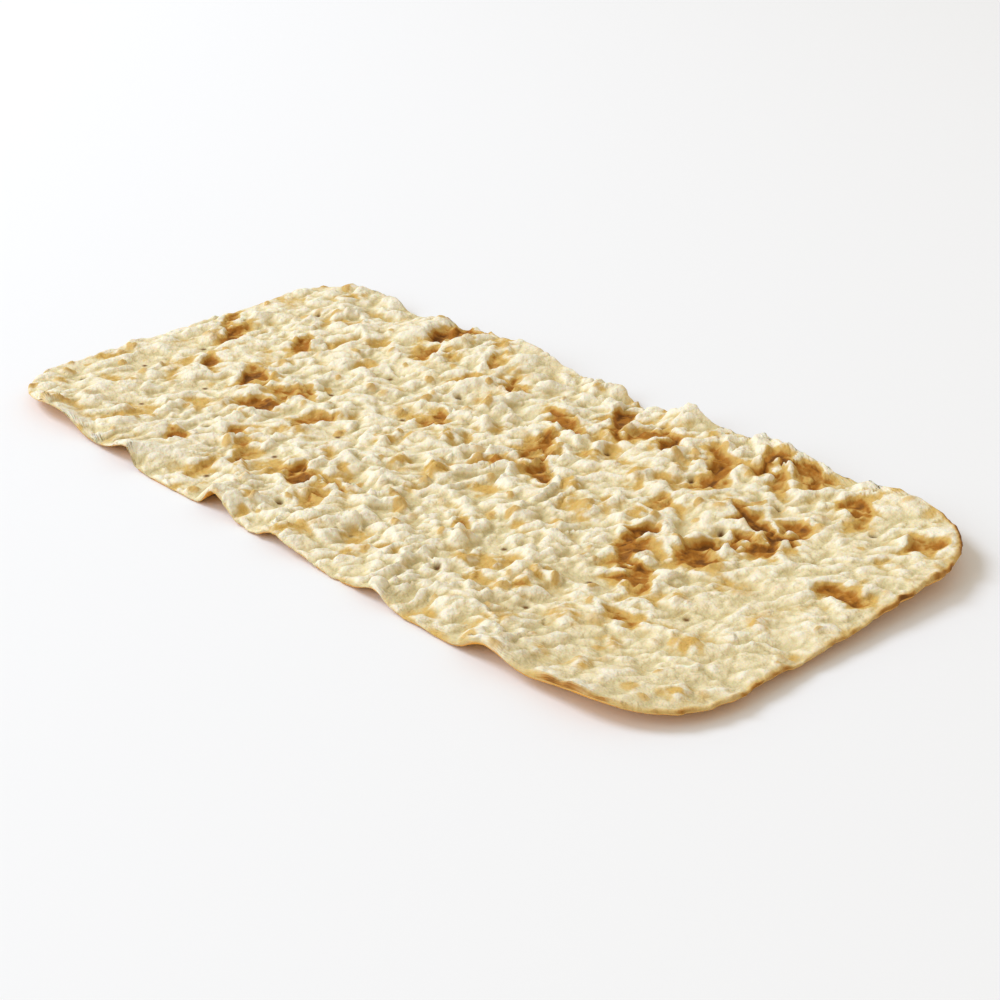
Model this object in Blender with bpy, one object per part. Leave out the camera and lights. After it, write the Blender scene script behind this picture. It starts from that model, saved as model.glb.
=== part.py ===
"""A thin rectangular pizza crust: one docked, blistered and toasted sheet of baked dough.

The crust lies on its underside, with its long side along X and its short side along Y. Its base is at
z = 0, and the origin is under the middle of it. Sizes below are in millimetres; the mesh is in metres.
"""

import math

import bmesh
import bpy
import numpy as np
from mathutils import Vector, geometry, noise
from mathutils.bvhtree import BVHTree

MM = 0.001

# The sheet as it is cut: a rectangle with one radius for each corner.
LENGTH = 305.0
WIDTH = 150.0
CORNER_RADII = {"front_left": 32.0, "front_right": 31.0, "back_left": 25.0, "back_right": 37.0}
OUTLINE_SWAY = 1.3
OUTLINE_NICKS = 0.9

# How thick the dough is, and how high its upper skin stands above the table.
THICKNESS = 2.9
RIM_THICKNESS = 1.8
RIM_TAPER = 11.0
RIM_ROUND = 0.8
THINNEST = 0.9
SKIN_HEIGHT = 2.9
BACK_LIFT = 2.4
RIGHT_LIFT = 2.0
RIGHT_LIFT_FROM = 95.0
SWELL = 0.7

# The long edges curl up in waves as they bake, which fade inwards. Each is
# (place along the edge, half width to its left, half width to its right, rise).
BACK_REACH = 17.0
FRONT_REACH = 12.0
BACK_WAVES = (
    (-106, 8, 8, -4.0),
    (-82, 6, 6, -2.3),
    (-45, 11, 11, 3.6),
    (-16, 8, 8, -2.8),
    (-2, 6, 5, 2.0),
    (11, 8, 9, -4.8),
    (33, 8, 8, 2.4),
    (67, 8, 9, 3.4),
    (115, 18, 18, 1.8),
)
FRONT_WAVES = (
    (0, 150, 150, -1.2),
    (-109, 26, 8, 6.0),
    (-70, 12, 2.5, 6.2),
    (-27, 4, 9, 6.2),
    (5, 7, 14, 3.2),
    (49, 7, 7, 3.8),
    (94, 7, 12, 5.0),
    (125, 18, 18, 3.4),
)
PLEAT_WIDENING = 0.4

# The docker's pins hold the sheet down in rows. They stand askew, because the dough was stretched after it.
PIN_SEED = 7
PIN_PITCH_X = 31.5
PIN_PITCH_Y = 23.3
PIN_START = (-7.5, 12.7)
PIN_SKEW = (0.12, 0.11)
PIN_DRIFT = 0.8
PIN_CLEAR = 5.0
PIN_DIMPLE = (7.5, 1.5)
PIN_HOLE = (1.5, 1.4)

# Big blisters between the pins: (x, y, half length, half width, turn in degrees, height).
BLISTERS = (
    (-92, 56, 15, 9, 60, 2.2),
    (-63, 52, 17, 6, 105, 2.6),
    (-37, 40, 12, 6, 75, 1.8),
    (-118, 55, 14, 10, 40, 1.0),
    (-88, 24, 12, 9, 100, 1.2),
    (-18, -28, 13, 7, 60, 1.6),
    (7, -60, 15, 9, 80, 2.2),
    (-21, -62, 12, 8, 70, 1.8),
    (33, -50, 12, 10, 90, 1.5),
    (71, -62, 13, 9, 70, 1.6),
    (84, 3, 9, 7, 60, 2.0),
    (85, 28, 12, 9, 100, 1.7),
    (57, 12, 11, 8, 100, 1.5),
    (31, 70, 10, 6, 80, 2.0),
    (-60, -62, 12, 9, 60, 1.3),
)

# Blisters that burst and browned, and fell in as creased folds. Each is
# (x, y, half length, half width, turn, how dark).
TOASTED_FOLDS = (
    (-145, 18, 8, 3, 135, 0.6),
    (-134, 12, 9, 4, 140, 0.85),
    (-119, -9, 7, 3, 135, 0.65),
    (-107, 21, 7, 4, 140, 0.65),
    (-95, -7, 9, 6, 150, 1.0),
    (-77, 64, 9, 7, 100, 1.0),
    (-77, -19, 7, 5, 140, 1.0),
    (-76, -4, 7, 4, 20, 0.8),
    (-76, -54, 6, 3, 140, 0.65),
    (-69, 47, 8, 4, 105, 0.6),
    (-67, 72, 5, 3, 135, 0.65),
    (-65, -38, 6, 3, 135, 0.65),
    (-54, -14, 8, 3, 70, 0.85),
    (-50, -46, 9, 3, 138, 0.6),
    (-45, 58, 6, 3, 120, 0.55),
    (-43, 43, 6, 4, 110, 0.5),
    (-28, 17, 7, 3, 130, 0.75),
    (-27, 50, 7, 3, 145, 0.8),
    (-24, -44, 9, 4, 130, 0.95),
    (-15, -39, 8, 2, 5, 0.7),
    (-8, -50, 9, 4, 115, 0.5),
    (5, 43, 9, 4, 150, 0.8),
    (10, 7, 5, 3, 45, 0.7),
    (12, 24, 13, 4, 120, 0.9),
    (16, 59, 13, 4, 123, 0.95),
    (23, 14, 10, 2, 132, 0.85),
    (31, 54, 9, 4, 35, 0.7),
    (33, -27, 4, 2, 130, 0.6),
    (41, 54, 8, 3, 125, 0.95),
    (63, 52, 12, 4, 125, 0.95),
    (74, 7, 5, 3, 60, 0.85),
    (75, 64, 9, 4, 110, 1.0),
    (79, -5, 12, 4, 130, 1.0),
    (84, 56, 9, 3, 130, 0.5),
    (85, 69, 8, 5, 150, 0.75),
    (90, -13, 8, 4, 135, 0.75),
    (93, 9, 6, 6, 90, 1.0),
    (96, 32, 11, 4, 165, 0.95),
    (97, 20, 8, 3, 90, 0.9),
    (102, -33, 7, 3, 0, 0.55),
    (104, 37, 8, 4, 110, 0.85),
    (105, 22, 6, 4, 20, 0.9),
    (111, 60, 9, 4, 150, 0.65),
    (137, 15, 8, 4, 10, 0.75),
    (139, 53, 6, 5, 60, 0.7),
    (-90, -3, 5, 3, 130, 0.4),
    (-86, -27, 5, 3, 120, 0.4),
    (-75, -28, 4, 2, 150, 0.35),
    (-51, -23, 5, 3, 100, 0.4),
    (-41, -53, 5, 3, 140, 0.35),
    (-33, -57, 4, 2, 130, 0.35),
    (-14, 9, 5, 3, 110, 0.4),
    (-22, 0, 4, 2, 130, 0.45),
    (-26, -9, 5, 3, 150, 0.35),
    (-11, -14, 5, 2, 120, 0.4),
    (2, -10, 6, 4, 140, 0.45),
    (28, 33, 5, 3, 130, 0.4),
    (47, 32, 5, 3, 100, 0.45),
    (48, 66, 5, 4, 130, 0.35),
    (38, 12, 5, 3, 140, 0.45),
    (65, 24, 6, 3, 120, 0.5),
    (54, 3, 4, 3, 120, 0.4),
    (54, -8, 5, 2, 140, 0.4),
    (49, -42, 6, 3, 130, 0.4),
    (73, -42, 5, 3, 120, 0.45),
    (70, -33, 4, 2, 140, 0.4),
    (26, -66, 5, 3, 110, 0.35),
    (84, -58, 5, 3, 140, 0.35),
    (132, -12, 5, 3, 130, 0.35),
    (108, -16, 5, 3, 120, 0.3),
    (127, -34, 6, 4, 140, 0.35),
    (93, -44, 8, 4, 130, 0.3),
    (111, -46, 6, 2, 150, 0.3),
    (115, -62, 5, 3, 120, 0.35),
    (103, -64, 4, 3, 140, 0.3),
    (142, -55, 5, 3, 120, 0.35),
)
FOLD_DEPTH = 2.6
FOLD_LIP = 1.7
FOLD_SEED = 21
FOLD_CLEAR = 1.5

# The skin between the folds is crumpled into flat facets, larger across the sheet than along it.
# Some of their corners are dents.
ROLLED_TURN = -12.0
FACET_SEED = 11
FACET_PITCH = (5.0, 8.0)
FACET_SPREAD = 0.65
DENT_SHARE = 0.2
DENT_DEPTH = (0.7, 1.6)
LUMP_SIZE = (8.0, 13.0)
LUMP_HEIGHT = 1.1
CALM_END = (85.0, 125.0)
CALM_SHARE = 0.55
CALM_RIM = 0.9

# The mesh: a grid of this spacing, which is then thinned out where the skin is flat.
GRID_STEP = 1.6
RIM_STEPS = (0.0, 0.4, 1.1)
KEPT_SHARE = 0.25
LIES_WITHIN = 0.06

BAKED_CREAM = (0.80, 0.70, 0.47, 1.0)


def smooth_step(low, high, value):
    t = np.clip((value - low) / (high - low), 0.0, 1.0)
    return t * t * (3.0 - 2.0 * t)


def noise_field(x, y, size_x, size_y, layer):
    """Gradient noise from about -1 to 1, stretched to the given sizes along X and Y."""
    points = zip((x / size_x).ravel(), (y / size_y).ravel())
    values = [noise.noise(Vector((a, b, layer))) for a, b in points]
    return np.reshape(values, x.shape)


def rim_distance(x, y):
    """How far inside the cut outline a point is."""
    front, left = y < 0.0, x < 0.0
    radius = np.where(
        front,
        np.where(left, CORNER_RADII["front_left"], CORNER_RADII["front_right"]),
        np.where(left, CORNER_RADII["back_left"], CORNER_RADII["back_right"]),
    )
    from_x = np.abs(x) - (LENGTH / 2 - radius)
    from_y = np.abs(y) - (WIDTH / 2 - radius)
    outside = np.hypot(np.maximum(from_x, 0.0), np.maximum(from_y, 0.0))
    return radius - outside - np.minimum(np.maximum(from_x, from_y), 0.0)


def end_of_row(y, front_radius, back_radius):
    """How far the outline reaches along X at this y, on the side with these two corners."""
    radius = np.where(y < 0.0, front_radius, back_radius)
    into_corner = np.clip(np.abs(y) - (WIDTH / 2 - radius), 0.0, radius)
    return LENGTH / 2 - radius + np.sqrt(radius**2 - into_corner**2)


def marks(half_size):
    """Places along one side of the grid, with closer ones at both rims."""
    inner = half_size - RIM_STEPS[-1]
    count = int(2 * inner / GRID_STEP) // 2 * 2
    rim = [half_size - step for step in RIM_STEPS[:-1]]
    middle = list(np.linspace(-inner, inner, count + 1))
    return np.array([-m for m in rim] + middle + rim[::-1])


def sheet_grid():
    """X and Y of every grid point on the flat sheet, whose outer rows follow the cut outline."""
    across, along = marks(WIDTH / 2), marks(LENGTH / 2)
    y = np.repeat(across[:, None], len(along), axis=1)
    left = -end_of_row(y, CORNER_RADII["front_left"], CORNER_RADII["back_left"])
    right = end_of_row(y, CORNER_RADII["front_right"], CORNER_RADII["back_right"])
    share = (along / LENGTH + 0.5)[None, :]
    return left + (right - left) * share, y


def turned(x, y, centre_x, centre_y, degrees):
    """Coordinates along and across a mark that is turned by so many degrees."""
    angle = math.radians(degrees)
    dx, dy = x - centre_x, y - centre_y
    return dx * math.cos(angle) + dy * math.sin(angle), dy * math.cos(angle) - dx * math.sin(angle)


def edge_waves(x, edge_distance, waves, inward):
    rise = np.zeros_like(x)
    for at, left_half, right_half, height in waves:
        half = np.where(x < at, left_half, right_half) + PLEAT_WIDENING * edge_distance
        rise = rise + height * np.exp(-(((x - at) / half) ** 2))
    return rise * np.exp(-((edge_distance / inward) ** 2))


def docking_pins():
    """Where the docker's pins went in."""
    draw = np.random.default_rng(PIN_SEED)
    pins = []
    for column in range(-5, 6):
        for row in range(-4, 4):
            x = PIN_START[0] + column * PIN_PITCH_X
            y = PIN_START[1] + row * PIN_PITCH_Y
            drift = draw.uniform(-PIN_DRIFT, PIN_DRIFT, 2)
            pin = (x + PIN_SKEW[0] * y + drift[0], y + PIN_SKEW[1] * x + drift[1])
            if rim_distance(np.array(pin[0]), np.array(pin[1])) > PIN_CLEAR:
                pins.append(pin)
    return pins


def body_height(x, y):
    """The broad form of the upper skin, which the underside follows."""
    height = SKIN_HEIGHT + BACK_LIFT * smooth_step(-15.0, WIDTH / 2, y)
    height = height + RIGHT_LIFT * smooth_step(RIGHT_LIFT_FROM, LENGTH / 2, x)
    height = height + SWELL * noise_field(x, y, 55.0, 45.0, 1.7)
    height = height + edge_waves(x, WIDTH / 2 - y, BACK_WAVES, BACK_REACH)
    height = height + edge_waves(x, WIDTH / 2 + y, FRONT_WAVES, FRONT_REACH)
    for centre_x, centre_y, half_long, half_wide, turn, rise in BLISTERS:
        lengthways, sideways = turned(x, y, centre_x, centre_y, turn)
        reach = (lengthways / half_long) ** 2 + (sideways / half_wide) ** 2
        height = height + rise * np.clip(1.0 - reach / 1.6, 0.0, 1.0) ** 1.5
    radius, depth = PIN_DIMPLE
    for centre_x, centre_y in docking_pins():
        gap = (x - centre_x) ** 2 + (y - centre_y) ** 2
        height = height - depth * np.exp(-gap / radius**2)
    return height


def liveliness(x):
    """How strongly the skin puffed: the right-hand end stayed calm."""
    return 1.0 - (1.0 - CALM_SHARE) * smooth_step(*CALM_END, x)


def fold_corners():
    """Where each fold's facets meet, as (x, y, height): a floor, steep walls, raised lips and torn arms."""
    chance = np.random.default_rng(FOLD_SEED)
    corners = []
    for centre_x, centre_y, half_long, half_wide, turn, dark in TOASTED_FOLDS:
        own = []
        deep = -FOLD_DEPTH * min(dark, 0.9)
        floors = max(1, round(half_long / half_wide))
        for step in range(floors):
            place = 0.0 if floors == 1 else 1.1 * step / (floors - 1) - 0.55
            own.append((place, chance.uniform(-0.2, 0.2), deep * chance.uniform(0.6, 1.1)))
        arms = chance.uniform(0.0, 2 * math.pi, 3)
        for arm in arms:
            own.append((1.15 * math.cos(arm), 1.15 * math.sin(arm), 0.6 * deep))
            own.append((1.7 * math.cos(arm), 1.7 * math.sin(arm), 0.1 * deep))
        walls = int(chance.integers(7, 10))
        for step in range(walls):
            angle = 2 * math.pi * (step + chance.uniform(-0.25, 0.25)) / walls
            own.append((0.66 * math.cos(angle), 0.66 * math.sin(angle), deep * chance.uniform(0.5, 1.0)))
            off_arms = min(abs(math.remainder(angle - arm, 2 * math.pi)) for arm in arms)
            if off_arms > 0.3:
                out = chance.uniform(1.0, 1.25)
                rise = FOLD_LIP * dark * chance.uniform(0.1, 1.0)
                own.append((out * math.cos(angle), out * math.sin(angle), rise))
        cosine, sine = math.cos(math.radians(turn)), math.sin(math.radians(turn))
        for place, aside, rise in own:
            far, wide = place * half_long, aside * half_wide
            x = centre_x + far * cosine - wide * sine
            y = centre_y + far * sine + wide * cosine
            corners.append((x, y, rise))
    return np.array(corners)


def facet_corners():
    """Where the skin's facets meet, as (x, y, height): a jittered lattice, and the folds' own corners."""
    chance = np.random.default_rng(FACET_SEED)
    reach = math.hypot(LENGTH, WIDTH) / 2
    a, b = np.meshgrid(np.arange(-reach, reach, FACET_PITCH[0]), np.arange(-reach, reach, FACET_PITCH[1]))
    a = a + chance.uniform(-0.45, 0.45, a.shape) * FACET_PITCH[0]
    b = b + chance.uniform(-0.45, 0.45, b.shape) * FACET_PITCH[1]
    turn = math.radians(ROLLED_TURN)
    x, y = a * math.cos(turn) - b * math.sin(turn), a * math.sin(turn) + b * math.cos(turn)
    near = (np.abs(x) < LENGTH / 2 + 9.0) & (np.abs(y) < WIDTH / 2 + 9.0)
    x, y = x[near], y[near]
    height = chance.normal(0.0, FACET_SPREAD, len(x))
    dented = chance.uniform(size=len(x)) < DENT_SHARE
    height[dented] = -chance.uniform(*DENT_DEPTH, dented.sum())
    height *= liveliness(x)
    free = np.ones(len(x), dtype=bool)
    for centre_x, centre_y, half_long, half_wide, turn, _ in TOASTED_FOLDS:
        lengthways, sideways = turned(x, y, centre_x, centre_y, turn)
        free &= np.hypot(lengthways / half_long, sideways / half_wide) > FOLD_CLEAR
    lattice = np.stack([x[free], y[free], height[free]], axis=-1)
    return np.concatenate([lattice, fold_corners()])


def facets(x, y):
    """Height of the creased facets at each point: flat triangles between the corners."""
    corners = facet_corners()
    flat = [Vector(corner[:2]) for corner in corners]
    spots, _, triangles, source, *_ = geometry.delaunay_2d_cdt(flat, [], [], 0, 1e-4)
    solid = [(spot.x, spot.y, corners[own[0], 2]) for spot, own in zip(spots, source)]
    tree = BVHTree.FromPolygons(solid, triangles)
    bent_x = x + 0.5 * noise_field(x, y, 4.0, 4.0, 5.2)
    bent_y = y + 0.5 * noise_field(x, y, 4.0, 4.0, 6.9)
    down = Vector((0.0, 0.0, -1.0))
    hits = [tree.ray_cast(Vector((a, b, 9.0)), down)[0] for a, b in zip(bent_x.ravel(), bent_y.ravel())]
    return np.reshape([hit.z for hit in hits], x.shape)


def skin_relief(x, y):
    """What stands on the broad form: facets and folds, lumps with sharp valleys, and the pin holes."""
    turn = math.radians(ROLLED_TURN)
    rolled_x = x * math.cos(turn) + y * math.sin(turn) + 2.5 * noise_field(x, y, 14.0, 14.0, 15.2)
    rolled_y = y * math.cos(turn) - x * math.sin(turn) + 2.5 * noise_field(x, y, 14.0, 14.0, 16.9)
    lumps = 2.0 * np.abs(noise_field(rolled_x, rolled_y, *LUMP_SIZE, 2.3)) - 0.5
    relief = facets(x, y) + LUMP_HEIGHT * lumps * liveliness(x)
    radius, depth = PIN_HOLE
    for centre_x, centre_y in docking_pins():
        gap = (x - centre_x) ** 2 + (y - centre_y) ** 2
        relief = relief - depth * np.exp(-gap / radius**2)
    return relief


def skins(x, y):
    """Heights of the upper skin and of the underside, which meet in a rounded rim."""
    inside = rim_distance(x, y)
    body = body_height(x, y)
    thick = RIM_THICKNESS + (THICKNESS - RIM_THICKNESS) * smooth_step(0.0, RIM_TAPER, inside)
    calm_rim = CALM_RIM + (1.0 - CALM_RIM) * smooth_step(0.0, RIM_TAPER / 2, inside)
    under = np.maximum(body - thick, 0.0)
    upper = np.maximum(body + skin_relief(x, y) * calm_rim, under + THINNEST)
    upper = np.where(inside < RIM_TAPER, np.maximum(upper, under + 0.7 * RIM_THICKNESS), upper)
    bend = 1.0 - np.clip(inside / RIM_ROUND, 0.0, 1.0)
    fullness = np.sqrt(1.0 - bend**2)
    middle = (upper + under) / 2
    return middle + (upper - middle) * fullness, middle + (under - middle) * fullness


def frayed(x, y):
    """The outline's slow sway and small nicks, as a shift of the points near the rim."""
    near_rim = 1.0 - smooth_step(0.0, 8.0, rim_distance(x, y))
    shift_x = OUTLINE_SWAY * noise_field(x, y, 38.0, 38.0, 11.3)
    shift_y = OUTLINE_SWAY * noise_field(x, y, 38.0, 38.0, 12.8)
    shift_x = shift_x + OUTLINE_NICKS * near_rim * noise_field(x, y, 5.0, 5.0, 13.4)
    shift_y = shift_y + OUTLINE_NICKS * near_rim * noise_field(x, y, 5.0, 5.0, 14.9)
    return x + shift_x, y + shift_y


def crust_mesh():
    """The closed skin: the whole grid above, every second row and column below, and one shared rim."""
    flat_x, flat_y = sheet_grid()
    upper, under = skins(flat_x, flat_y)
    x, y = frayed(flat_x, flat_y)
    rows, columns = x.shape
    bm = bmesh.new()
    top = {}
    for i in range(rows):
        for j in range(columns):
            top[i, j] = bm.verts.new(Vector((x[i, j], y[i, j], upper[i, j])) * MM)
    bottom = {}
    for i in range(0, rows, 2):
        for j in range(0, columns, 2):
            on_rim = i in (0, rows - 1) or j in (0, columns - 1)
            place = Vector((x[i, j], y[i, j], under[i, j])) * MM
            bottom[i, j] = top[i, j] if on_rim else bm.verts.new(place)
    for i in range(rows - 1):
        for j in range(columns - 1):
            bm.faces.new((top[i, j], top[i, j + 1], top[i + 1, j + 1], top[i + 1, j]))
    for i in range(0, rows - 1, 2):
        for j in range(0, columns - 1, 2):
            ring = [(i, j), (i + 1, j), (i + 2, j), (i + 2, j + 1)]
            ring += [(i + 2, j + 2), (i + 1, j + 2), (i, j + 2), (i, j + 1)]
            on_rim = [a in (0, rows - 1) or b in (0, columns - 1) for a, b in ring]
            corners = [
                top[key] if rim else bottom[key]
                for key, rim in zip(ring, on_rim)
                if rim or key in bottom
            ]
            bm.faces.new(corners)
    bmesh.ops.triangulate(bm, faces=bm.faces)
    mesh = bpy.data.meshes.new("crust")
    bm.to_mesh(mesh)
    bm.free()
    mesh.shade_smooth()
    return mesh


def thin_out(crust):
    """Replaces the even grid by fewer triangles, which follow the relief."""
    modifier = crust.modifiers.new("thinned", "DECIMATE")
    modifier.ratio = KEPT_SHARE
    view = bpy.context.evaluated_depsgraph_get()
    thinned = bpy.data.meshes.new_from_object(crust.evaluated_get(view))
    crust.modifiers.remove(modifier)
    crust.data = thinned


def lay_down(mesh):
    """Gives the outline its true length and width about the origin, and presses the underside flat on z = 0."""
    places = np.empty(len(mesh.vertices) * 3, dtype=np.float32)
    mesh.vertices.foreach_get("co", places)
    places = places.reshape(-1, 3).astype(float)
    for axis, size in ((0, LENGTH), (1, WIDTH)):
        low, high = places[:, axis].min(), places[:, axis].max()
        places[:, axis] = (places[:, axis] - (low + high) / 2) * size * MM / (high - low)
    places[places[:, 2] < LIES_WITHIN * MM, 2] = 0.0
    mesh.vertices.foreach_set("co", places.astype(np.float32).ravel())
    mesh.update()


def baked_dough():
    material = bpy.data.materials.new("baked_dough")
    material.use_nodes = True
    shader = material.node_tree.nodes["Principled BSDF"]
    shader.inputs["Base Color"].default_value = BAKED_CREAM
    shader.inputs["Roughness"].default_value = 0.8
    shader.inputs["Metallic"].default_value = 0.0
    return material


def build():
    for old in list(bpy.data.objects):
        bpy.data.objects.remove(old)
    mesh = crust_mesh()
    mesh.materials.append(baked_dough())
    crust = bpy.data.objects.new("crust", mesh)
    bpy.context.scene.collection.objects.link(crust)
    thin_out(crust)
    lay_down(crust.data)


build()
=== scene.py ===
import math

import bpy
import numpy as np
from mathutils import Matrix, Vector, geometry, noise
from mathutils.bvhtree import BVHTree


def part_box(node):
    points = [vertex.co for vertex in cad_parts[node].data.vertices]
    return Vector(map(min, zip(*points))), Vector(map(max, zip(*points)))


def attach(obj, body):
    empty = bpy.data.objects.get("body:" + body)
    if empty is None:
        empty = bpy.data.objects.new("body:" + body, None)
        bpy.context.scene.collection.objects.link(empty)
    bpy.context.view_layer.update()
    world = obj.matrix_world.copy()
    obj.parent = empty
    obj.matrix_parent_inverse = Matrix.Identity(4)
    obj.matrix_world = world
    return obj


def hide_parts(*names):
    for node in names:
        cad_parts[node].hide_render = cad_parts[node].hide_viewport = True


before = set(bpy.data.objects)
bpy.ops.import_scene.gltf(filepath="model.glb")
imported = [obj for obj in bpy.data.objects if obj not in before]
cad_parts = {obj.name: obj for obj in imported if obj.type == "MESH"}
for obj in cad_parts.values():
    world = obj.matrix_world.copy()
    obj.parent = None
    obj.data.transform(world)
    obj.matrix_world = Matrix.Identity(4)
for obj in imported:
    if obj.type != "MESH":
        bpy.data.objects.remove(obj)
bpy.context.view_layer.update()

# ---------------------------------------------------------------------------------------------------------
# The sheet of dough: rolled thin, cut to a rectangle with one radius for each corner, and laid flat.
# All sizes are in millimetres. The cutter's long and short sides are those of the crust's box.

MM = 0.001
low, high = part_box("crust")
LENGTH = (high[0] - low[0]) / MM
WIDTH = (high[1] - low[1]) / MM
CORNER_RADII = {"front_left": 32.0, "front_right": 31.0, "back_left": 25.0, "back_right": 37.0}
FINE_STEP = 0.8
RIM_STEPS = (0.0, 0.12, 0.45, 1.0)


def rim_distance(x, y):
    """How far inside the cut outline a point is."""
    front, left = y < 0.0, x < 0.0
    radius = np.where(
        front,
        np.where(left, CORNER_RADII["front_left"], CORNER_RADII["front_right"]),
        np.where(left, CORNER_RADII["back_left"], CORNER_RADII["back_right"]),
    )
    from_x = np.abs(x) - (LENGTH / 2 - radius)
    from_y = np.abs(y) - (WIDTH / 2 - radius)
    outside = np.hypot(np.maximum(from_x, 0.0), np.maximum(from_y, 0.0))
    return radius - outside - np.minimum(np.maximum(from_x, from_y), 0.0)


def end_of_row(y, front_radius, back_radius):
    """How far the outline reaches along X at this y, on the side with these two corners."""
    radius = np.where(y < 0.0, front_radius, back_radius)
    into_corner = np.clip(np.abs(y) - (WIDTH / 2 - radius), 0.0, radius)
    return LENGTH / 2 - radius + np.sqrt(radius**2 - into_corner**2)


def marks(half_size):
    """Places along one side of the grid, with closer ones at both rims."""
    inner = half_size - RIM_STEPS[-1]
    count = int(2 * inner / FINE_STEP) // 2 * 2
    rim = [half_size - step for step in RIM_STEPS[:-1]]
    middle = list(np.linspace(-inner, inner, count + 1))
    return np.array([-m for m in rim] + middle + rim[::-1])


across, along = marks(WIDTH / 2), marks(LENGTH / 2)
flat_y = np.repeat(across[:, None], len(along), axis=1)
left_end = -end_of_row(flat_y, CORNER_RADII["front_left"], CORNER_RADII["back_left"])
right_end = end_of_row(flat_y, CORNER_RADII["front_right"], CORNER_RADII["back_right"])
flat_x = left_end + (right_end - left_end) * (along / LENGTH + 0.5)[None, :]
inside = rim_distance(flat_x, flat_y)


def smooth_step(start, end, value):
    """Rises smoothly from 0 at the start to 1 at the end."""
    t = np.clip((value - start) / (end - start), 0.0, 1.0)
    return t * t * (3.0 - 2.0 * t)


def noise_field(size_x, size_y, layer, x=flat_x, y=flat_y):
    """Gradient noise from about -1 to 1, of these sizes in millimetres. Each layer is another field."""
    points = zip((x / size_x).ravel(), (y / size_y).ravel())
    values = [noise.noise(Vector((a, b, layer))) for a, b in points]
    return np.reshape(values, x.shape)


def turned(centre_x, centre_y, degrees):
    """Coordinates along and across a mark that is turned by so many degrees."""
    angle = math.radians(degrees)
    dx, dy = flat_x - centre_x, flat_y - centre_y
    return dx * math.cos(angle) + dy * math.sin(angle), dy * math.cos(angle) - dx * math.sin(angle)


# ---------------------------------------------------------------------------------------------------------
# Baking lifts the sheet off the belt: the back and the right-hand end rise, and both long edges curl up in
# waves. Each wave is (place along the edge, half width to its left, half width to its right, rise).

SKIN_HEIGHT = 2.9
BACK_LIFT = 2.4
BACK_LIFT_FROM = -15.0
RIGHT_LIFT = 2.0
RIGHT_LIFT_FROM = 95.0
SWELL = 0.7
SWELL_SIZE = (55.0, 45.0)
BACK_REACH = 17.0
FRONT_REACH = 12.0
BACK_WAVES = (
    (-106, 8, 8, -4.0),
    (-82, 6, 6, -2.3),
    (-45, 11, 11, 3.6),
    (-16, 8, 8, -2.8),
    (-2, 6, 5, 2.0),
    (11, 8, 9, -4.8),
    (33, 8, 8, 2.4),
    (67, 8, 9, 3.4),
    (115, 18, 18, 1.8),
)
FRONT_WAVES = (
    (0, 150, 150, -1.2),
    (-109, 26, 8, 6.0),
    (-70, 12, 2.5, 6.2),
    (-27, 4, 9, 6.2),
    (5, 7, 14, 3.2),
    (49, 7, 7, 3.8),
    (94, 7, 12, 5.0),
    (125, 18, 18, 3.4),
)
PLEAT_WIDENING = 0.4


def edge_waves(edge_distance, waves, inward):
    """How far the waves of one long edge lift the sheet. They widen and die out inward from the edge."""
    rise = np.zeros_like(flat_x)
    for at, left_half, right_half, height in waves:
        half = np.where(flat_x < at, left_half, right_half) + PLEAT_WIDENING * edge_distance
        rise = rise + height * np.exp(-(((flat_x - at) / half) ** 2))
    return rise * np.exp(-((edge_distance / inward) ** 2))


body = SKIN_HEIGHT + BACK_LIFT * smooth_step(BACK_LIFT_FROM, WIDTH / 2, flat_y)
body = body + RIGHT_LIFT * smooth_step(RIGHT_LIFT_FROM, LENGTH / 2, flat_x)
body = body + SWELL * noise_field(*SWELL_SIZE, 1.7)
body = body + edge_waves(WIDTH / 2 - flat_y, BACK_WAVES, BACK_REACH)
body = body + edge_waves(WIDTH / 2 + flat_y, FRONT_WAVES, FRONT_REACH)

# ---------------------------------------------------------------------------------------------------------
# The docker's pins went through the dough in rows before baking, and hold the two skins together there. The
# rows stand askew, because the dough was stretched after docking. Between the pins the skin blew up into
# blisters, each (x, y, half length, half width, turn in degrees, height).

PIN_SEED = 7
PIN_COLUMNS = range(-5, 6)
PIN_ROWS = range(-4, 4)
PIN_PITCH_X = 31.5
PIN_PITCH_Y = 23.3
PIN_START = (-7.5, 12.7)
PIN_SKEW = (0.12, 0.11)
PIN_DRIFT = 0.8
PIN_CLEAR = 5.0
PIN_DIMPLE_REACH = 7.5
PIN_DIMPLE_DEPTH = 1.5
PIN_HOLE_REACH = 1.2
PIN_HOLE_DEPTH = 2.4
BLISTER_FOOT = 1.6
BLISTER_ROUNDNESS = 1.5
BLISTERS = (
    (-92, 56, 15, 9, 60, 2.2),
    (-63, 52, 17, 6, 105, 2.6),
    (-37, 40, 12, 6, 75, 1.8),
    (-118, 55, 14, 10, 40, 1.0),
    (-88, 24, 12, 9, 100, 1.2),
    (-18, -28, 13, 7, 60, 1.6),
    (7, -60, 15, 9, 80, 2.2),
    (-21, -62, 12, 8, 70, 1.8),
    (33, -50, 12, 10, 90, 1.5),
    (71, -62, 13, 9, 70, 1.6),
    (84, 3, 9, 7, 60, 2.0),
    (85, 28, 12, 9, 100, 1.7),
    (57, 12, 11, 8, 100, 1.5),
    (31, 70, 10, 6, 80, 2.0),
    (-60, -62, 12, 9, 60, 1.3),
)

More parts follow.
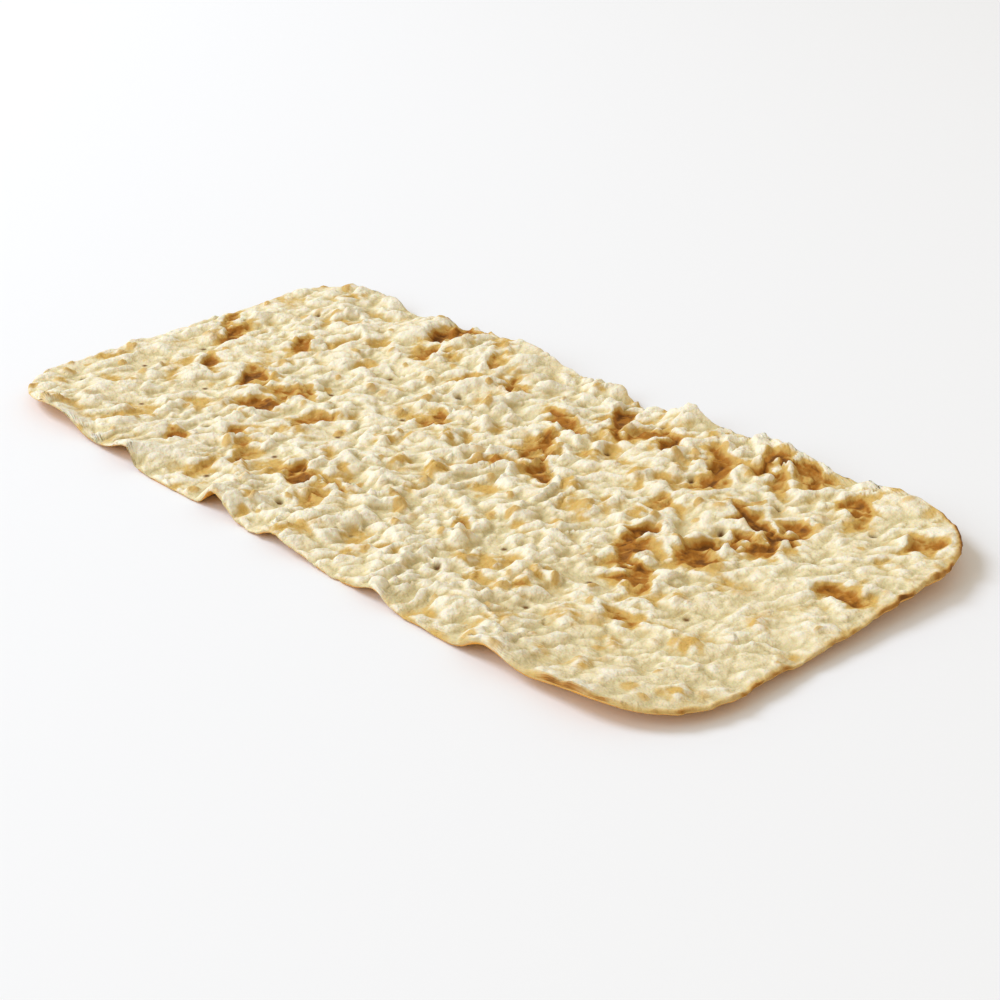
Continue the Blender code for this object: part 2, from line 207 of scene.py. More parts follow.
chance = np.random.default_rng(PIN_SEED)
pins = []
for column in PIN_COLUMNS:
    for row in PIN_ROWS:
        pin_x = PIN_START[0] + column * PIN_PITCH_X
        pin_y = PIN_START[1] + row * PIN_PITCH_Y
        drift = chance.uniform(-PIN_DRIFT, PIN_DRIFT, 2)
        pin = (pin_x + PIN_SKEW[0] * pin_y + drift[0], pin_y + PIN_SKEW[1] * pin_x + drift[1])
        if rim_distance(np.array(pin[0]), np.array(pin[1])) > PIN_CLEAR:
            pins.append(pin)

for centre_x, centre_y, half_long, half_wide, turn, rise in BLISTERS:
    lengthways, sideways = turned(centre_x, centre_y, turn)
    reach = (lengthways / half_long) ** 2 + (sideways / half_wide) ** 2
    body = body + rise * np.clip(1.0 - reach / BLISTER_FOOT, 0.0, 1.0) ** BLISTER_ROUNDNESS

hole = np.zeros_like(flat_x)
for centre_x, centre_y in pins:
    gap = (flat_x - centre_x) ** 2 + (flat_y - centre_y) ** 2
    body = body - PIN_DIMPLE_DEPTH * np.exp(-gap / PIN_DIMPLE_REACH**2)
    hole = np.maximum(hole, np.exp(-gap / PIN_HOLE_REACH**2))

# ---------------------------------------------------------------------------------------------------------
# Blisters that burst in the oven fell in as creased folds, and their thin floors browned. The lighter spots
# are bubbles that stayed up and took some colour on top. Each is (x, y, half length, half width, turn in
# degrees, how dark).

TOASTED_FOLDS = (
    (-145, 18, 8, 3, 135, 0.6),
    (-134, 12, 9, 4, 140, 0.85),
    (-119, -9, 7, 3, 135, 0.65),
    (-107, 21, 7, 4, 140, 0.65),
    (-95, -7, 9, 6, 150, 1.0),
    (-77, 64, 9, 7, 100, 1.0),
    (-77, -19, 7, 5, 140, 1.0),
    (-76, -4, 7, 4, 20, 0.8),
    (-76, -54, 6, 3, 140, 0.65),
    (-69, 47, 8, 4, 105, 0.6),
    (-67, 72, 5, 3, 135, 0.65),
    (-65, -38, 6, 3, 135, 0.65),
    (-54, -14, 8, 3, 70, 0.85),
    (-50, -46, 9, 3, 138, 0.6),
    (-45, 58, 6, 3, 120, 0.55),
    (-43, 43, 6, 4, 110, 0.5),
    (-28, 17, 7, 3, 130, 0.75),
    (-27, 50, 7, 3, 145, 0.8),
    (-24, -44, 9, 4, 130, 0.95),
    (-15, -39, 8, 2, 5, 0.7),
    (-8, -50, 9, 4, 115, 0.5),
    (5, 43, 9, 4, 150, 0.8),
    (10, 7, 5, 3, 45, 0.7),
    (12, 24, 13, 4, 120, 0.9),
    (16, 59, 13, 4, 123, 0.95),
    (23, 14, 10, 2, 132, 0.85),
    (31, 54, 9, 4, 35, 0.7),
    (33, -27, 4, 2, 130, 0.6),
    (41, 54, 8, 3, 125, 0.95),
    (63, 52, 12, 4, 125, 0.95),
    (74, 7, 5, 3, 60, 0.85),
    (75, 64, 9, 4, 110, 1.0),
    (79, -5, 12, 4, 130, 1.0),
    (84, 56, 9, 3, 130, 0.5),
    (85, 69, 8, 5, 150, 0.75),
    (90, -13, 8, 4, 135, 0.75),
    (93, 9, 6, 6, 90, 1.0),
    (96, 32, 11, 4, 165, 0.95),
    (97, 20, 8, 3, 90, 0.9),
    (102, -33, 7, 3, 0, 0.55),
    (104, 37, 8, 4, 110, 0.85),
    (105, 22, 6, 4, 20, 0.9),
    (111, 60, 9, 4, 150, 0.65),
    (137, 15, 8, 4, 10, 0.75),
    (139, 53, 6, 5, 60, 0.7),
    (-90, -3, 5, 3, 130, 0.4),
    (-86, -27, 5, 3, 120, 0.4),
    (-75, -28, 4, 2, 150, 0.35),
    (-51, -23, 5, 3, 100, 0.4),
    (-41, -53, 5, 3, 140, 0.35),
    (-33, -57, 4, 2, 130, 0.35),
    (-14, 9, 5, 3, 110, 0.4),
    (-22, 0, 4, 2, 130, 0.45),
    (-26, -9, 5, 3, 150, 0.35),
    (-11, -14, 5, 2, 120, 0.4),
    (2, -10, 6, 4, 140, 0.45),
    (28, 33, 5, 3, 130, 0.4),
    (47, 32, 5, 3, 100, 0.45),
    (48, 66, 5, 4, 130, 0.35),
    (38, 12, 5, 3, 140, 0.45),
    (65, 24, 6, 3, 120, 0.5),
    (54, 3, 4, 3, 120, 0.4),
    (54, -8, 5, 2, 140, 0.4),
    (49, -42, 6, 3, 130, 0.4),
    (73, -42, 5, 3, 120, 0.45),
    (70, -33, 4, 2, 140, 0.4),
    (26, -66, 5, 3, 110, 0.35),
    (84, -58, 5, 3, 140, 0.35),
    (132, -12, 5, 3, 130, 0.35),
    (108, -16, 5, 3, 120, 0.3),
    (127, -34, 6, 4, 140, 0.35),
    (93, -44, 8, 4, 130, 0.3),
    (111, -46, 6, 2, 150, 0.3),
    (115, -62, 5, 3, 120, 0.35),
    (103, -64, 4, 3, 140, 0.3),
    (142, -55, 5, 3, 120, 0.35),
)
FOLD_DEPTH = 2.6
FOLD_LIP = 1.7
FOLD_SEED = 21
CORNER_JITTER = 0.25
FLOOR_SPAN = 1.1
WALL_REACH = 0.66
LIP_REACH = (1.0, 1.25)
ARMS = 3
ARM_REACHES = (1.15, 1.7)
LIP_FREE_OF_ARM = 0.3
BUBBLE_BELOW = 0.5
BUBBLE_RISE = 1.3
BUBBLE_SIDES = 7
BUBBLE_REACHES = (0.6, 1.1)


def placed(spot, centre_x, centre_y, half_long, half_wide, turn):
    """A fold's own corner, given in shares of its half sizes, as a place on the sheet."""
    far, wide = spot[0] * half_long, spot[1] * half_wide
    cosine, sine = math.cos(math.radians(turn)), math.sin(math.radians(turn))
    return (centre_x + far * cosine - wide * sine, centre_y + far * sine + wide * cosine, *spot[2:])


def corner_at(angle, out, height, toast):
    """A corner at this angle round a fold's middle, so many half sizes out from it."""
    return out * math.cos(angle), out * math.sin(angle), height, toast


def angle_round(step, steps, chance):
    """One of a ring of uneven steps round a fold."""
    return 2 * math.pi * (step + chance.uniform(-CORNER_JITTER, CORNER_JITTER)) / steps


def bubble_corners(dark, chance):
    """A bubble that stayed up: its browned top, a shoulder round it, and its foot."""
    shoulder, foot = BUBBLE_REACHES
    own = [(0.0, 0.0, BUBBLE_RISE * chance.uniform(0.7, 1.2), dark * 1.3)]
    for step in range(BUBBLE_SIDES):
        angle = angle_round(step, BUBBLE_SIDES, chance)
        rise = BUBBLE_RISE * chance.uniform(0.1, 0.9)
        own.append(corner_at(angle, shoulder, rise, dark * chance.uniform(0.6, 1.3)))
        own.append(corner_at(angle, foot, -0.4 * chance.uniform(0.0, 1.0), 0.3 * dark))
    return own


def burst_corners(dark, slenderness, chance):
    """A blister that fell in: a line of floors, torn arms that run out of it, steep walls, raised lips."""
    own = []
    deep = -FOLD_DEPTH * min(dark, 0.9)
    floors = max(1, round(slenderness))
    for step in range(floors):
        place = 0.0 if floors == 1 else FLOOR_SPAN * step / (floors - 1) - FLOOR_SPAN / 2
        own.append((place, chance.uniform(-0.2, 0.2), deep * chance.uniform(0.6, 1.1), dark))
    arms = chance.uniform(0.0, 2 * math.pi, ARMS)
    for arm in arms:
        own.append(corner_at(arm, ARM_REACHES[0], 0.6 * deep, dark * chance.uniform(0.7, 1.0)))
        own.append(corner_at(arm, ARM_REACHES[1], 0.1 * deep, 0.35 * dark))
    walls = int(chance.integers(7, 10))
    for step in range(walls):
        angle = angle_round(step, walls, chance)
        height = deep * chance.uniform(0.5, 1.0)
        own.append(corner_at(angle, WALL_REACH, height, dark * chance.uniform(0.75, 1.2)))
        off_arms = min(abs(math.remainder(angle - arm, 2 * math.pi)) for arm in arms)
        if off_arms > LIP_FREE_OF_ARM:
            out = chance.uniform(*LIP_REACH)
            rise = FOLD_LIP * dark * chance.uniform(0.1, 1.0)
            own.append(corner_at(angle, out, rise, dark * chance.uniform(0.05, 0.3)))
    return own


def fold_corners():
    """Where the facets of all the folds meet, as (x, y, height, toast)."""
    chance = np.random.default_rng(FOLD_SEED)
    corners = []
    for centre_x, centre_y, half_long, half_wide, turn, dark in TOASTED_FOLDS:
        if dark < BUBBLE_BELOW:
            own = bubble_corners(dark, chance)
        else:
            own = burst_corners(dark, half_long / half_wide, chance)
        corners += [placed(spot, centre_x, centre_y, half_long, half_wide, turn) for spot in own]
    return corners


# ---------------------------------------------------------------------------------------------------------
# The skin between the folds is crumpled dough. Flat creased facets lie over rounded lumps and small
# pillows, and thin flakes lift along the way it was rolled. Some of its dents took colour. The right-hand
# end stayed calmer.

ROLLED_TURN = -12.0
FACET_SEED = 11
FACET_PITCH = (5.0, 8.0)
FACET_JITTER = 0.45
FACET_SPREAD = 0.7
FACET_WANDER = 0.5
FACET_WANDER_SIZE = 4.0
SHEET_MARGIN = 9.0
FOLD_CLEARANCE = 1.5
ABOVE_THE_SKIN = 9.0
SAME_SPOT = 1e-4
DENT_SHARE = 0.22
DENT_DEPTH = (0.7, 1.6)
DENT_TOAST = (0.0, 0.48)
CRINKLE_PITCH = (2.3, 3.6)
CRINKLE_SPREAD = 0.32
ROLL_WANDER = 2.5
ROLL_WANDER_SIZE = 14.0
LUMP_SIZE = (8.0, 13.0)
LUMP_HEIGHT = 0.6
PILLOW_SIZE = (6.0, 9.0)
PILLOW_SEAM = 0.16
PILLOW_HEIGHT = 0.8
FLAKE_SIZE = (17.0, 26.0)
FLAKE_ROWS = 2.4
FLAKE_FRAY = 0.3
FLAKE_FRAY_SIZE = 5.0
FLAKE_EDGE = 0.12
FLAKE_PATCH_SIZE = 13.0
FLAKE_PATCH_MEAN = 0.7
FLAKE_PATCH_SWING = 1.4
FLAKE_PATCH_RANGE = (0.0, 1.2)
FLAKE_HEIGHT = 1.3
GRAIN_SIZE = (1.7, 2.4)
GRAIN_HEIGHT = 0.2
CALM_END = (85.0, 125.0)
CALM_SHARE = 0.62
LIVELY_SIZE = (30.0, 22.0)
LIVELY_MEAN = 1.05
LIVELY_SWING = 0.9
LIVELY_RANGE = (0.45, 1.6)
LIVELY_MIDDLE = 5.0
LIVELY_REACH = 55.0
LIVELY_GAIN = 0.5
TOASTED_CRUMPLE = 1.5
TOASTED_FLATTENING = 0.7
HOLE_FROM_RIM = (9.0, 12.0)
HOLE_GONE_IN_TOAST = (0.2, 0.4)


def liveliness(x):
    """The share of its relief that the skin keeps toward the calm right-hand end."""
    return 1.0 - (1.0 - CALM_SHARE) * smooth_step(*CALM_END, x)


def rolled_lattice(pitch, chance):
    """Jittered points over the whole sheet, in rows that follow the way the dough was rolled."""
    turn = math.radians(ROLLED_TURN)
    reach = math.hypot(LENGTH, WIDTH) / 2
    a, b = np.meshgrid(np.arange(-reach, reach, pitch[0]), np.arange(-reach, reach, pitch[1]))
    a = a + chance.uniform(-FACET_JITTER, FACET_JITTER, a.shape) * pitch[0]
    b = b + chance.uniform(-FACET_JITTER, FACET_JITTER, b.shape) * pitch[1]
    x, y = a * math.cos(turn) - b * math.sin(turn), a * math.sin(turn) + b * math.cos(turn)
    near = (np.abs(x) < LENGTH / 2 + SHEET_MARGIN) & (np.abs(y) < WIDTH / 2 + SHEET_MARGIN)
    return np.stack([x[near], y[near]], axis=-1)


wavy_x = flat_x + FACET_WANDER * noise_field(FACET_WANDER_SIZE, FACET_WANDER_SIZE, 5.2)
wavy_y = flat_y + FACET_WANDER * noise_field(FACET_WANDER_SIZE, FACET_WANDER_SIZE, 6.9)


def facet_field(spots, *fields):
    """Joins the spots by flat wavy-edged facets. Gives each field over the grid, and the facet numbers."""
    flat_spots = [Vector(spot) for spot in spots]
    corners, _, triangles, which, *_ = geometry.delaunay_2d_cdt(flat_spots, [], [], 0, SAME_SPOT)
    source = [w[0] for w in which]
    down = Vector((0.0, 0.0, -1.0))
    start_points = [Vector((a, b, ABOVE_THE_SKIN)) for a, b in zip(wavy_x.ravel(), wavy_y.ravel())]
    results = []
    for field in fields:
        tree = BVHTree.FromPolygons([(p.x, p.y, field[w]) for p, w in zip(corners, source)], triangles)
        hits = [tree.ray_cast(start, down) for start in start_points]
        results.append(np.reshape([hit[0].z for hit in hits], flat_x.shape))
    results.append(np.reshape([hit[2] for hit in hits], flat_x.shape))
    return results


chance = np.random.default_rng(FACET_SEED)
spots = rolled_lattice(FACET_PITCH, chance)
rises = chance.normal(0.0, FACET_SPREAD, len(spots))
browns = np.zeros(len(spots))
dented = chance.uniform(size=len(spots)) < DENT_SHARE
rises[dented] = -chance.uniform(*DENT_DEPTH, dented.sum())
browns[dented] = chance.uniform(*DENT_TOAST, dented.sum())
rises *= liveliness(spots[:, 0])
browns *= liveliness(spots[:, 0])
free = np.ones(len(spots), dtype=bool)
for centre_x, centre_y, half_long, half_wide, turn, dark in TOASTED_FOLDS:
    angle = math.radians(turn)
    dx, dy = spots[:, 0] - centre_x, spots[:, 1] - centre_y
    lengthways = dx * math.cos(angle) + dy * math.sin(angle)
    sideways = dy * math.cos(angle) - dx * math.sin(angle)
    free &= np.hypot(lengthways / half_long, sideways / half_wide) > FOLD_CLEARANCE
folds = np.array(fold_corners())
spots = np.concatenate([spots[free], folds[:, :2]])
rises = np.concatenate([rises[free], folds[:, 2]])
browns = np.concatenate([browns[free], folds[:, 3]])
skin, toast, facet = facet_field(spots, rises, browns)

small_spots = rolled_lattice(CRINKLE_PITCH, chance)
crinkles, small_facet = facet_field(small_spots, chance.normal(0.0, CRINKLE_SPREAD, len(small_spots)))
facet_tone = 0.5 * chance.uniform(-1.0, 1.0, facet.max() + 1)[facet]
facet_tone = facet_tone + chance.uniform(-1.0, 1.0, small_facet.max() + 1)[small_facet]

# Lumps meet in sharp valleys and pillows in narrow seams. Each flake rises slowly and ends in a steep step.
# All three are lowered by a constant, so that they lie about evenly over and under the sheet.
roll = math.radians(ROLLED_TURN)
rolled_x = flat_x * math.cos(roll) + flat_y * math.sin(roll)
rolled_x = rolled_x + ROLL_WANDER * noise_field(ROLL_WANDER_SIZE, ROLL_WANDER_SIZE, 15.2)
rolled_y = flat_y * math.cos(roll) - flat_x * math.sin(roll)
rolled_y = rolled_y + ROLL_WANDER * noise_field(ROLL_WANDER_SIZE, ROLL_WANDER_SIZE, 16.9)
lumps = 2.0 * np.abs(noise_field(*LUMP_SIZE, 2.3, rolled_x, rolled_y)) - 0.5
pillow_places = zip((rolled_x / PILLOW_SIZE[0]).ravel(), (rolled_y / PILLOW_SIZE[1]).ravel())
nearest = [noise.voronoi(Vector((a, b, 3.3)))[0] for a, b in pillow_places]
from_seam = np.reshape([found[1] - found[0] for found in nearest], flat_x.shape)
pillows = 1.0 - np.exp(-from_seam / PILLOW_SEAM) - 0.6
grain = GRAIN_HEIGHT * noise_field(*GRAIN_SIZE, 9.1)
flake_steps = FLAKE_ROWS * noise_field(*FLAKE_SIZE, 7.7, rolled_x, rolled_y)
flake_steps = flake_steps + FLAKE_FRAY * noise_field(FLAKE_FRAY_SIZE, FLAKE_FRAY_SIZE, 8.8)
up = flake_steps - np.floor(flake_steps)
flakes = up - smooth_step(1.0 - FLAKE_EDGE, 1.0, up) - 0.4
flake_patches = noise_field(FLAKE_PATCH_SIZE, FLAKE_PATCH_SIZE, 4.4)
flaky = np.clip(FLAKE_PATCH_MEAN + FLAKE_PATCH_SWING * flake_patches, *FLAKE_PATCH_RANGE)

# Some stretches are livelier than others, most of all the middle. Toasted floors are creased, less lumpy.
stretch = np.clip(LIVELY_MEAN + LIVELY_SWING * noise_field(*LIVELY_SIZE, 19.3), *LIVELY_RANGE)
stretch = stretch * liveliness(flat_x)
stretch = stretch * (1.0 + LIVELY_GAIN * np.exp(-(((flat_x - LIVELY_MIDDLE) / LIVELY_REACH) ** 2)))
crumpled = 1.0 + TOASTED_CRUMPLE * np.clip(toast, 0.0, 1.0)
puffed = stretch * (1.0 - TOASTED_FLATTENING * np.clip(1.5 * toast, 0.0, 1.0))
skin = skin + (LUMP_HEIGHT * lumps + PILLOW_HEIGHT * pillows + FLAKE_HEIGHT * (flakes * flaky)) * puffed
skin = skin + crinkles * crumpled * stretch + grain
hole = hole * smooth_step(*HOLE_FROM_RIM, inside) * (1.0 - smooth_step(*HOLE_GONE_IN_TOAST, toast))
skin = skin - PIN_HOLE_DEPTH * hole

# ---------------------------------------------------------------------------------------------------------
# Small bubbles stand all over the skin, where gas in the dough lifted it as it baked, and their thin tops
# turned golden.

SMALL_BUBBLES = 300
SMALL_BUBBLE_SEED = 5
SMALL_BUBBLE_SIZE = (1.5, 3.4)
SMALL_BUBBLE_WIDTH = (0.5, 0.9)
SMALL_BUBBLE_HEIGHT = (0.5, 1.4)
SMALL_BUBBLE_GOLD = (0.3, 1.0)

golden_tops = np.zeros_like(flat_x)
chance = np.random.default_rng(SMALL_BUBBLE_SEED)
for _ in range(SMALL_BUBBLES):
    centre_x = chance.uniform(-LENGTH / 2, LENGTH / 2)
    centre_y = chance.uniform(-WIDTH / 2, WIDTH / 2)
    half_long = chance.uniform(*SMALL_BUBBLE_SIZE)
    lengthways, sideways = turned(centre_x, centre_y, chance.uniform(0.0, 180.0))
    half_wide = half_long * chance.uniform(*SMALL_BUBBLE_WIDTH)
    reach = (lengthways / half_long) ** 2 + (sideways / half_wide) ** 2
    mound = np.clip(1.0 - reach, 0.0, 1.0) * liveliness(flat_x)
    skin = skin + chance.uniform(*SMALL_BUBBLE_HEIGHT) * mound
    golden_tops = np.maximum(golden_tops, chance.uniform(*SMALL_BUBBLE_GOLD) * np.sqrt(mound))

# ---------------------------------------------------------------------------------------------------------
# The crust itself: one closed skin over the dough. The underside follows the sheet down to the belt, where
# it lies flat, and the two meet in a thin rounded rim, which frayed a little where the cutter went through.
# Nicks run straight in from it, and fade along the long edges toward the corners, so the skin never folds
# over itself.

THICKNESS = 2.9
RIM_THICKNESS = 1.8
RIM_TAPER = 11.0
RIM_ROUND = 0.8
RIM_LEAST = 0.55
THINNEST = 0.9
CALM_RIM = 0.9
SWAY = 1.3
SWAY_SIZE = 38.0
FRAY_REACH = 8.0
FRAY_INWARD = 60.0
NICK = 0.6
NICK_SIZE = 5.0
BIT = 0.6
BIT_SIZE = 1.9
STRAIGHT_SIDE = (20.0, 55.0)

thick = RIM_THICKNESS + (THICKNESS - RIM_THICKNESS) * smooth_step(0.0, RIM_TAPER, inside)
calm_rim = CALM_RIM + (1.0 - CALM_RIM) * smooth_step(0.0, RIM_TAPER / 2, inside)
under = np.maximum(body - thick, 0.0)
upper = np.maximum(body + skin * calm_rim, under + THINNEST)
upper = np.where(inside < RIM_TAPER, np.maximum(upper, under + RIM_LEAST * RIM_THICKNESS), upper)
bend = 1.0 - np.clip(inside / RIM_ROUND, 0.0, 1.0)
fullness = np.sqrt(1.0 - bend**2)
middle = (upper + under) / 2
upper, under = middle + (upper - middle) * fullness, middle + (under - middle) * fullness

near_rim = 1.0 - smooth_step(0.0, FRAY_REACH, inside)
straight_side = near_rim * (1.0 - smooth_step(*STRAIGHT_SIDE, np.abs(flat_x)))
place_x = flat_x + SWAY * noise_field(SWAY_SIZE, SWAY_SIZE, 11.3)
place_y = flat_y + SWAY * noise_field(SWAY_SIZE, SWAY_SIZE, 12.8)
place_x = place_x + NICK * near_rim * noise_field(FRAY_INWARD, NICK_SIZE, 13.4)
place_y = place_y + NICK * straight_side * noise_field(NICK_SIZE, FRAY_INWARD, 14.9)
place_x = place_x + BIT * near_rim * noise_field(FRAY_INWARD, BIT_SIZE, 17.4)
place_y = place_y + BIT * straight_side * noise_field(BIT_SIZE, FRAY_INWARD, 18.9)
place_x = (place_x - (place_x.min() + place_x.max()) / 2) * LENGTH / np.ptp(place_x)
place_y = (place_y - (place_y.min() + place_y.max()) / 2) * WIDTH / np.ptp(place_y)
upper = np.minimum(upper, (high[2] - low[2]) / MM)

# How much lower a spot is than the skin round it. The material paints valleys darker and warmer than
# crests, which is painted shade, and paints the right-hand end warmer because it took more heat.
HOLLOW_BLUR = 24
HOLLOW_DEPTH = 1.2
CREASE_BLUR = 5
CREASE_DEPTH = 0.35
WARMER_END = (20.0, 140.0)
WARMER_BY = 0.3


def blurred(field, passes):
    """Evens a field out over the grid, a little more with each pass."""
    for _ in range(passes):
        field = np.pad(field, 1, mode="edge")
        field = (field[:-2, 1:-1] + field[2:, 1:-1] + field[1:-1, :-2] + field[1:-1, 2:]) / 4
    return field


hollow_shade_and_bake = np.clip((blurred(upper, HOLLOW_BLUR) - upper) / HOLLOW_DEPTH, -1.0, 1.0)
hollow_shade_and_bake = hollow_shade_and_bake + WARMER_BY * smooth_step(*WARMER_END, flat_x)
# How deep a spot lies in a fine crease. The material uses it to paint shade into the creases.
crease_shade = np.clip((blurred(upper, CREASE_BLUR) - upper) / CREASE_DEPTH, -1.0, 1.0)

# The underside has every second point of the top's grid, and shares the points along the rim.
rows, columns = flat_x.shape
number = np.arange(rows * columns).reshape(rows, columns)
quads = np.stack([number[:-1, :-1], number[:-1, 1:], number[1:, 1:], number[1:, :-1]], axis=-1)
faces = quads.reshape(-1, 4).tolist()
under_number = number.copy()
inner_rows = np.arange(2, rows - 2, 2)
inner_columns = np.arange(2, columns - 2, 2)
lower_spots = [(i, j) for i in inner_rows for j in inner_columns]
for count, (i, j) in enumerate(lower_spots):
    under_number[i, j] = rows * columns + count
on_rim = np.zeros((rows, columns), dtype=bool)
on_rim[[0, -1], :] = True
on_rim[:, [0, -1]] = True
for i in range(0, rows - 1, 2):
    for j in range(0, columns - 1, 2):
        ring = [(i, j), (i + 1, j), (i + 2, j), (i + 2, j + 1)]
        ring += [(i + 2, j + 2), (i + 1, j + 2), (i, j + 2), (i, j + 1)]
        kept = [spot for spot in ring if on_rim[spot] or spot[0] % 2 == spot[1] % 2 == 0]
        faces.append([int(under_number[spot]) for spot in kept])

upper_points = np.stack([place_x, place_y, upper], axis=-1).reshape(-1, 3)
lower_points = [(place_x[i, j], place_y[i, j], under[i, j]) for i, j in lower_spots]
points = np.concatenate([upper_points, np.array(lower_points)]) * MM
points[:, 2] += low[2]
mesh = bpy.data.meshes.new("toasted_crust")
mesh.from_pydata(points.tolist(), [], faces)
mesh.shade_smooth()
crust = bpy.data.objects.new("toasted_crust", mesh)
bpy.context.scene.collection.objects.link(crust)


def keep_values(name, field, at_under):
    """Stores a number for each point, for the material to read."""
    values = np.concatenate([field.ravel(), np.full(len(lower_spots), at_under)])
    mesh.attributes.new(name, "FLOAT", "POINT").data.foreach_set("value", values.astype(np.float32))


# The rim browned in uneven spots, more toward the right-hand end, and charred at the back corner there.
RIM_BROWN_WIDTH = 2.4
RIM_BROWN = 0.1
RIM_SPOTS = 0.6
RIM_SPOT_SIZE = 9.0
RIM_SPECKS = 0.5
RIM_SPECK_SIZE = 3.0
BROWNER_END = (70.0, 145.0)
BROWNER_BY = 0.75
CHARRED_AT = (142.0, 57.0)
CHARRED_REACH = (9.0, 13.0)

baked_rim = RIM_BROWN + BROWNER_BY * smooth_step(*BROWNER_END, flat_x)
baked_rim = baked_rim + RIM_SPOTS * noise_field(RIM_SPOT_SIZE, RIM_SPOT_SIZE, 21.5)
baked_rim = baked_rim + RIM_SPECKS * noise_field(RIM_SPECK_SIZE, RIM_SPECK_SIZE, 23.5)
from_char = ((flat_x - CHARRED_AT[0]) / CHARRED_REACH[0]) ** 2
from_char = from_char + ((flat_y - CHARRED_AT[1]) / CHARRED_REACH[1]) ** 2
baked_rim = np.clip(baked_rim + np.exp(-from_char), 0.0, 1.5)
rim = (1.0 - smooth_step(0.0, RIM_BROWN_WIDTH, inside)) * baked_rim
keep_values("toast", toast, 0.0)
keep_values("hollow_shade_and_bake", hollow_shade_and_bake, 0.0)
keep_values("crease_shade", crease_shade, 0.0)
keep_values("golden_tops", golden_tops, 0.0)
keep_values("underside", np.zeros_like(flat_x), 1.0)
keep_values("rim", rim, 0.0)
keep_values("pinhole", hole, 0.0)
keep_values("facet", facet_tone, 0.0)

# Baked wheat dough: a matt, slightly translucent crumb skin, dry and floury from the oven. To the eye it is
# pale cream where it puffed, golden on thin bubble tops and the rim, and brown where the blister floors
# toasted. The warm straw in the creases and hollows is painted shade.

PALE_CREAM = "F2E9CF"
WARM_CREAM = "EADAB0"
STRAW = "D2C292"
GOLDEN = "D2AC5E"
TOASTED = "AC6F1E"
SCORCHED = "643909"
PINHOLE_SHADE_BROWN = "70481C"
UNDERSIDE_GOLD = "EBA83E"
PATCH_SIZE = 14.0
SPECKLE_SIZE = 2.2
FRECKLE_SIZE = 0.9
FLOUR_SIZE = 1.2
WRINKLE_SIZE = 2.4
FOLD_BROWN = 1.12
CRUMB_DEPTH = 0.8
LIGHT_SINKS_IN = 0.7


def linear(hex_colour, alpha=1.0):
    """An sRGB hex colour as the linear values that shaders take."""
    parts = [int(hex_colour[i : i + 2], 16) / 255 for i in (0, 2, 4)]
    return [c / 12.92 if c <= 0.04045 else ((c + 0.055) / 1.055) ** 2.4 for c in parts] + [alpha]


baked_dough = bpy.data.materials.new("baked_wheat_dough")
baked_dough.use_nodes = True
tree = baked_dough.node_tree
shader = tree.nodes["Principled BSDF"]


def add(kind, settings, inputs):
    """Adds a node with its settings. Each input is linked to a socket or set to a value."""
    node = tree.nodes.new(kind)
    for name, value in settings.items():
        setattr(node, name, value)
    for name, value in inputs.items():
        if isinstance(value, bpy.types.NodeSocket):
            tree.links.new(value, node.inputs[name])
        else:
            node.inputs[name].default_value = value
    return node


stored = {}
for name in ("toast", "hollow_shade_and_bake", "crease_shade", "rim", "pinhole", "facet", "underside", "golden_tops"):
    stored[name] = add("ShaderNodeAttribute", {"attribute_name": name}, {}).outputs["Fac"]

coordinates = add("ShaderNodeTexCoord", {}, {}).outputs["Object"]
cloudy = {}
for name, size in (
    ("patches", PATCH_SIZE),
    ("speckles", SPECKLE_SIZE),
    ("freckles", FRECKLE_SIZE),
    ("flour", FLOUR_SIZE),
):
    inputs = {"Vector": coordinates, "Scale": 0.5 / (size * MM), "Detail": 2.0, "Roughness": 0.6}
    cloudy[name] = add("ShaderNodeTexNoise", {}, inputs).outputs["Fac"]
wrinkled = {"Vector": coordinates, "Scale": 0.5 / (WRINKLE_SIZE * MM), "Detail": 3.0, "Distortion": 0.8}
wrinkles = add("ShaderNodeTexNoise", {"noise_type": "RIDGED_MULTIFRACTAL", "normalize": False}, wrinkled)
wrinkles = wrinkles.outputs["Fac"]

# How golden the skin is drawn. Part of it is the dough's own tone: patches, speckles and the warmer
# right-hand end. Part of it is painted shade, warm in creases and hollows and between fine wrinkles, and
# less on their crests. Each of them is (what it follows, how much it adds).
times_and_plus = {"operation": "MULTIPLY_ADD"}
warmth_and_shade = stored["hollow_shade_and_bake"]
for follows, much in (
    (stored["crease_shade"], 0.45),
    (cloudy["patches"], 1.2),
    (cloudy["speckles"], 1.0),
    (wrinkles, -0.5),
):
    warmth_and_shade = add("ShaderNodeMath", times_and_plus, {0: follows, 1: much, 2: warmth_and_shade}).outputs[0]

# How toasted it is: from fold to fold, uneven by facet and wrinkle, and broken up by speckles. A little
# painted shade is added to it in hollows and creases.
brown = FOLD_BROWN
for follows, much in ((stored["facet"], 0.3), (wrinkles, -0.4)):
    brown = add("ShaderNodeMath", times_and_plus, {0: follows, 1: much, 2: brown}).outputs[0]
brown = add("ShaderNodeMath", {"operation": "MULTIPLY"}, {0: stored["toast"], 1: brown}).outputs[0]
for follows, much in ((cloudy["speckles"], 0.5), (stored["hollow_shade_and_bake"], 0.08), (stored["crease_shade"], 0.06)):
    brown = add("ShaderNodeMath", times_and_plus, {0: follows, 1: much, 2: brown}).outputs[0]

